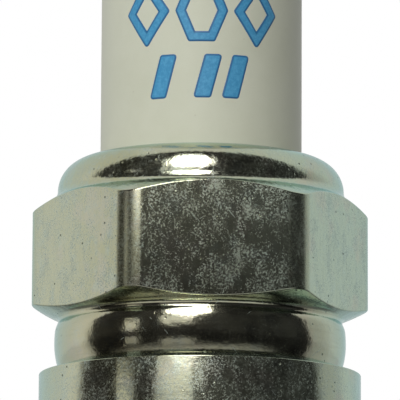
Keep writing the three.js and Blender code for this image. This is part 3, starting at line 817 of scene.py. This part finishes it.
def make_inner_conductors():
    glass = seal_glass()
    carbon = pressed_powder("resistor_compound", (0.035, 0.033, 0.031, 1), (0.022, 0.020, 0.019, 1), 0.02)
    make_core("upper_glass", "upper_glass_seal", "seal_glass", glass, 0.12)
    make_core("resistor_filling", "resistor", "resistor_compound", carbon, 0.08)
    make_core("lower_glass", "lower_glass_seal", "seal_glass", glass, 0.12)


def make_electrodes():
    nickel = turned_metal(
        "electrode_nickel", (0.42, 0.40, 0.36, 1), (0.33, 0.31, 0.28, 1), (0.30, 0.46), 0.008)
    copper = turned_metal("copper", (0.80, 0.42, 0.26, 1), (0.66, 0.33, 0.20, 1), (0.25, 0.40), 0.006)
    precious = turned_metal(
        "precious_metal", (0.64, 0.64, 0.66, 1), (0.52, 0.52, 0.54, 1), (0.18, 0.32), 0.002)
    end, top = ELECTRODE_LOW.z, ELECTRODE_HIGH.z
    radius, end_radius, head_radius, core_radius, core_bottom = 1.25, 0.62, 1.9, 0.78, -19.4
    head_low = ELECTRODE_SEAT + HEAD_STEP + FIT
    electrode = revolve("centre_electrode_body", [
        (0, end),
        (end_radius, end, 0.06),
        (radius, end + 0.5, 0.12),
        (radius, head_low - HEAD_STEP, 0.05),
        (head_radius, head_low, 0.06),
        (head_radius, top, 0.12),
        (core_radius, top, 0.04),
        (core_radius, core_bottom, 0.1),
        (0, core_bottom - 0.4)], closed=False, segments=64)
    finish_piece(electrode, "plug_body", "electrode_nickel", ["centre_electrode"], nickel)

    low, high = box_mm("centre_electrode_core")
    core = revolve("centre_copper", [
        (0, low.z),
        (high.y, low.z + 0.36, 0.1),
        (high.y, high.z, 0.06),
        (0, high.z)], closed=False, segments=48)
    finish_piece(core, "plug_body", "copper", ["centre_electrode_core"], copper)

    low, high = box_mm("iridium_tip")
    tip = revolve("spark_tip", [
        (0, low.z), (high.y, low.z, 0.03), (high.y, high.z, 0.02), (0, high.z)], closed=False, segments=48)
    finish_piece(tip, "plug_body", "precious_metal", ["iridium_tip"], precious)
    low, high = box_mm("tip_weld")
    weld_bore, weld_end = 0.34, 0.42
    weld = revolve("tip_weld_bead", [
        (weld_bore, low.z, 0.02),
        (weld_end, low.z, 0.06),
        (high.y, high.z - 0.08, 0.1),
        (high.y, high.z, 0.02),
        (weld_bore, high.z, 0.02)], closed=True, segments=48)
    finish_piece(weld, "plug_body", "electrode_nickel", ["tip_weld"], nickel)
    low, high = box_mm("platinum_pad")
    pad = revolve("strap_pad", [
        (0, low.z), (high.y, low.z, 0.02), (high.y, high.z, 0.04), (0, high.z)], closed=False, segments=48)
    finish_piece(pad, "plug_body", "precious_metal", ["platinum_pad"], precious)
    return nickel, copper


# ---------------------------------------------------------------- ground electrode

def strap_stations(foot_z, end_x, leg_x, bend_radius, lower_z, steps=14):
    """Places (x, z, angle) along the strap's middle line, from the shell's end face to the free end."""
    bend_x, bend_z = leg_x - bend_radius, lower_z + bend_radius
    stations = [(leg_x, foot_z + (bend_z - foot_z) * i / 4, 0.0) for i in range(4)]
    for i in range(steps + 1):
        angle = -90 * i / steps
        x = bend_x + bend_radius * math.cos(math.radians(angle))
        z = bend_z + bend_radius * math.sin(math.radians(angle))
        stations.append((x, z, angle))
    stations += [(bend_x + (end_x - bend_x) * i / 5, lower_z, -90.0) for i in range(1, 6)]
    return stations


def section_loop(width, thickness, corner):
    """Rounded rectangle (across, out) of a strip's section."""
    half_w, half_t = width / 2, thickness / 2
    outline = [(-half_w, -half_t, corner), (half_w, -half_t, corner), (half_w, half_t, corner),
               (-half_w, half_t, corner)]
    return rounded(outline, closed=True, steps=4)


def sweep_rings(stations, loops):
    """One ring of points for each station and its own section loop."""
    rings = []
    for (x, z, angle), loop in zip(stations, loops):
        cosine, sine = math.cos(math.radians(angle)), math.sin(math.radians(angle))
        rings.append([(x + out * cosine, across, z + out * sine) for across, out in loop])
    return rings


def ring_faces(first, count, rings, flip=False):
    faces = []
    for i in range(rings - 1):
        for j in range(count):
            k = (j + 1) % count
            a, b = first + i * count, first + (i + 1) * count
            face = (a + j, a + k, b + k, b + j)
            faces.append(face[::-1] if flip else face)
    return faces


def make_strap(nickel, copper):
    width, thickness, leg_x, bend = STRAP_HIGH.y * 2, 1.3, 4.6, 2.0
    lower_z = STRAP_LOW.z + thickness / 2
    foot_z, end_x = STRAP_HIGH.z, STRAP_LOW.x
    core_width, core_thickness = 1.3, 0.55
    core_end = STRAP_CORE_LOW.x - FIT

    outside = strap_stations(foot_z, end_x, leg_x, bend, lower_z)
    loops = [section_loop(width, thickness, 0.28) for _ in outside]
    edge = 0.12
    for i in range(1, 5):
        turn = math.radians(90 * i / 4)
        less = edge * (1 - math.cos(turn))
        outside.append((end_x + edge - edge * math.sin(turn), lower_z, -90.0))
        loops.append(section_loop(width - 2 * less, thickness - 2 * less, 0.28 - less))
    keep = len(outside) - 5
    outside[keep] = (end_x + edge, lower_z, -90.0)
    inside = strap_stations(foot_z, core_end, leg_x, bend, lower_z)
    inner_loops = [section_loop(core_width, core_thickness, 0.1) for _ in inside]

    outer_rings = sweep_rings(outside, loops)
    inner_rings = sweep_rings(inside, inner_loops)
    count = len(loops[0])
    vertices = [p for ring in outer_rings + inner_rings for p in ring]
    first_inner = len(outer_rings) * count
    faces = ring_faces(0, count, len(outer_rings))
    faces += ring_faces(first_inner, count, len(inner_rings), flip=True)
    faces += [(j, first_inner + j, first_inner + (j + 1) % count, (j + 1) % count) for j in range(count)]
    faces.append(tuple((len(outer_rings) - 1) * count + j for j in range(count)))
    faces.append(tuple(len(vertices) - 1 - j for j in range(count)))
    strap = new_mesh("ground_strap", vertices, faces, 40.0)
    finish_piece(strap, "plug_body", "electrode_nickel", ["ground_electrode"], nickel)

    stations = strap_stations(STRAP_CORE_HIGH.z, STRAP_CORE_LOW.x, leg_x, bend, lower_z)
    slim = section_loop(core_width - 2 * FIT, core_thickness - 2 * FIT, 0.08)
    rings = sweep_rings(stations, [slim] * len(stations))
    vertices = [p for ring in rings for p in ring]
    faces = ring_faces(0, count, len(rings))
    faces.append(tuple(range(count))[::-1])
    faces.append(tuple((len(rings) - 1) * count + j for j in range(count)))
    core = new_mesh("strap_copper", vertices, faces, 40.0)
    finish_piece(core, "plug_body", "copper", ["ground_electrode_core"], copper)


# ---------------------------------------------------------------- camera, light and floor

# The studio's panels in degrees: azimuths from and to, elevations from and to, softness of the edge.
# Azimuth 0 is towards the camera, and positive is to its right. BLOOM is the softbox's patch on the table.
LEFT_CARD = ((-62, -50), (4, 14), 1.5)
FRONT_CARD = ((-31, -5), (9.8, 18), 1.2)
BLOOM = ((-70, 60), (25, 52), 12.0)
SOFTBOX_CENTRE, SOFTBOX_HALF = (-10, 42), (19, 24)

def direction(azimuth, elevation):
    """Unit vector from the plug towards a place seen at an azimuth (0 is -Y, positive to +X)."""
    a, e = math.radians(azimuth), math.radians(elevation)
    return Vector((math.sin(a) * math.cos(e), -math.cos(a) * math.cos(e), math.sin(e)))


def make_camera():
    data = bpy.data.cameras.new("camera")
    data.sensor_width = 36.0
    data.lens = data.sensor_width * VIEW_DISTANCE / VIEW_WIDTH
    camera = bpy.data.objects.new("camera", data)
    towards = direction(VIEW_AZIMUTH, VIEW_ELEVATION)
    camera.location = (VIEW_CENTRE + towards * VIEW_DISTANCE) * MM
    camera.rotation_euler = (-towards).to_track_quat("-Z", "Y").to_euler()
    camera.rotation_euler.rotate_axis("Z", math.radians(VIEW_ROLL))
    bpy.context.scene.collection.objects.link(camera)
    bpy.context.scene.camera = camera


def panel(tree, azimuth, elevation, across, up, soft):
    """Mask of a soft-edged panel: its azimuth and elevation ranges, and its edge, in degrees."""
    masks = []
    for angle, (low, high) in ((azimuth, across), (elevation, up)):
        rise = ramp(tree, angle, math.radians(low - soft), math.radians(low + soft))
        fall = ramp(tree, angle, math.radians(high - soft), math.radians(high + soft), 1.0, 0.0)
        masks.append(arithmetic(tree, "MULTIPLY", rise, fall))
    return arithmetic(tree, "MULTIPLY", *masks)


def softbox_mask(tree, azimuth, elevation):
    """Mask of a rounded panel that fades at its edges."""
    total = None
    for angle, centre, half in zip((azimuth, elevation), SOFTBOX_CENTRE, SOFTBOX_HALF):
        offset = arithmetic(tree, "SUBTRACT", angle, math.radians(centre))
        share = arithmetic(tree, "ABSOLUTE", arithmetic(tree, "DIVIDE", offset, math.radians(half)))
        cubed = arithmetic(tree, "POWER", share, 3.0)
        total = cubed if total is None else arithmetic(tree, "ADD", total, cubed)
    return ramp(tree, total, 0.45, 1.35, 1.0, 0.0)


def make_world():
    """A plain, neutral studio as seen from the plug. A white tent stands behind and above it, the room in
    front is dark but for a softbox and two white cards, and a glossy table mirrors all of it."""
    world = bpy.data.worlds.new("studio")
    world.use_nodes = True
    tree = world.node_tree
    tree.nodes.clear()
    place = node(tree, "ShaderNodeTexCoord").outputs["Generated"]
    turn = (0, 0, math.radians(-VIEW_AZIMUTH))
    turned = node(tree, "ShaderNodeMapping", {"Vector": place, "Rotation": turn})
    parts = node(tree, "ShaderNodeSeparateXYZ", {"Vector": turned.outputs[0]})
    x, y, z = parts.outputs
    up = arithmetic(tree, "ABSOLUTE", z)
    azimuth = arithmetic(tree, "ARCTAN2", x, arithmetic(tree, "MULTIPLY", y, -1.0))
    elevation = arithmetic(tree, "ARCSINE", up)

    lean = arithmetic(tree, "ADD", y, arithmetic(tree, "MULTIPLY", up, 0.25))
    tent = ramp(tree, lean, 0.09, 0.16)
    tent_colour = mix_colour(tree, ramp(tree, x, -0.2, 0.5), (0.68, 0.69, 0.67, 1), (0.63, 0.64, 0.62, 1))
    tent_colour = mix_colour(tree, ramp(tree, x, -0.80, -0.97), tent_colour, (0.76, 0.76, 0.75, 1))
    tent_colour = mix_colour(tree, ramp(tree, x, -0.955, -0.99), tent_colour, (0.56, 0.56, 0.54, 1))
    tent_colour = mix_colour(tree, ramp(tree, x, 0.75, 0.98), tent_colour, (0.42, 0.42, 0.40, 1))
    gloom = noise(tree, turned.outputs[0], 2.6, detail=4.0, roughness=0.6)
    dark = mix_colour(
        tree, ramp(tree, gloom, 0.40, 0.62), (0.014, 0.014, 0.015, 1), (0.034, 0.034, 0.034, 1))
    colour = mix_colour(tree, tent, dark, tent_colour)

    # Two white reflector cards stand in the dark part of the room.
    left_card = panel(tree, azimuth, elevation, *LEFT_CARD)
    colour = mix_colour(tree, left_card, colour, (0.78, 0.78, 0.76, 1))
    front_card = panel(tree, azimuth, elevation, *FRONT_CARD)
    colour = mix_colour(tree, front_card, colour, (0.85, 0.85, 0.83, 1))

    softbox = softbox_mask(tree, azimuth, elevation)
    above = ramp(tree, z, -0.02, 0.0)
    colour = mix_colour(tree, arithmetic(tree, "MULTIPLY", softbox, above), colour, (4.9, 4.9, 4.8, 1))
    bloom = panel(tree, azimuth, elevation, *BLOOM)
    bloom = arithmetic(tree, "MULTIPLY", bloom, arithmetic(tree, "SUBTRACT", 1.0, above))
    colour = mix_colour(tree, bloom, colour, (3.3, 3.3, 3.2, 1))

    # The table mirrors less the steeper the glance.
    steep = ramp(tree, up, 0.0, 0.45, 0.55, 0.20)
    steep = arithmetic(tree, "MULTIPLY", steep, ramp(tree, up, 0.60, 0.80, 1.0, 0.22))
    behind = arithmetic(tree, "MULTIPLY", ramp(tree, y, -0.2, 0.3), ramp(tree, up, 0.2, 0.6, 0.85, 0.04))
    mirrored = arithmetic(tree, "MAXIMUM", steep, behind)
    strength = node(tree, "ShaderNodeMix", {0: above, 2: mirrored, 3: 1.0}, data_type="FLOAT")
    seen = node(tree, "ShaderNodeLightPath").outputs["Is Camera Ray"]
    lit = node(tree, "ShaderNodeBackground", {"Color": colour, "Strength": strength.outputs[0]})
    backdrop = node(tree, "ShaderNodeBackground", {"Color": (1, 1, 1, 1), "Strength": 1.0})
    mixed = node(tree, "ShaderNodeMixShader", {0: seen, 1: lit.outputs[0], 2: backdrop.outputs[0]})
    node(tree, "ShaderNodeOutputWorld", {"Surface": mixed.outputs[0]})
    bpy.context.scene.world = world


def make_fill():
    """Fill light from the front left, too soft to be mirrored in the plating."""
    data = bpy.data.lights.new("fill", "AREA")
    data.shape, data.size, data.energy = "DISK", 0.14, 0.36
    data.color = (1.0, 0.98, 0.95)
    fill = bpy.data.objects.new("fill", data)
    towards = direction(VIEW_AZIMUTH - 26, 30)
    fill.location = (VIEW_CENTRE + towards * 300) * MM
    fill.rotation_euler = towards.to_track_quat("Z", "Y").to_euler()
    fill.visible_glossy = False
    bpy.context.scene.collection.objects.link(fill)


def make_floor():
    """Pale floor. The table of make_world() lights the plug and is mirrored in it instead of this floor."""
    material, tree = shader_tree("pale_floor")
    place = place_mm(tree)
    grain = noise(tree, place, 0.8, detail=3.0)
    colour = mix_colour(tree, grain, (0.80, 0.80, 0.79, 1), (0.84, 0.84, 0.83, 1))
    surface(tree, {"Base Color": colour, "Roughness": 0.7, "Normal": bump(tree, grain, 0.02)})
    size = 1500.0
    z = STRAP_LOW.z - 0.1
    corners = [(-size, -size, z), (size, -size, z), (size, size, z), (-size, size, z)]
    mesh = bpy.data.meshes.new("floor")
    mesh.from_pydata([Vector(c) * MM for c in corners], [], [(0, 1, 2, 3)])
    mesh.materials.append(material)
    floor = bpy.data.objects.new("floor", mesh)
    bpy.context.scene.collection.objects.link(floor)
    floor.visible_glossy = False
    floor.visible_diffuse = False


make_camera()
make_world()
make_fill()
make_floor()
make_shell()
make_insulator()
make_print()
make_seals()
make_gasket()
make_terminal()
make_inner_conductors()
strap_metals = make_electrodes()
make_strap(*strap_metals)
bpy.context.scene.view_settings.view_transform = "Standard"
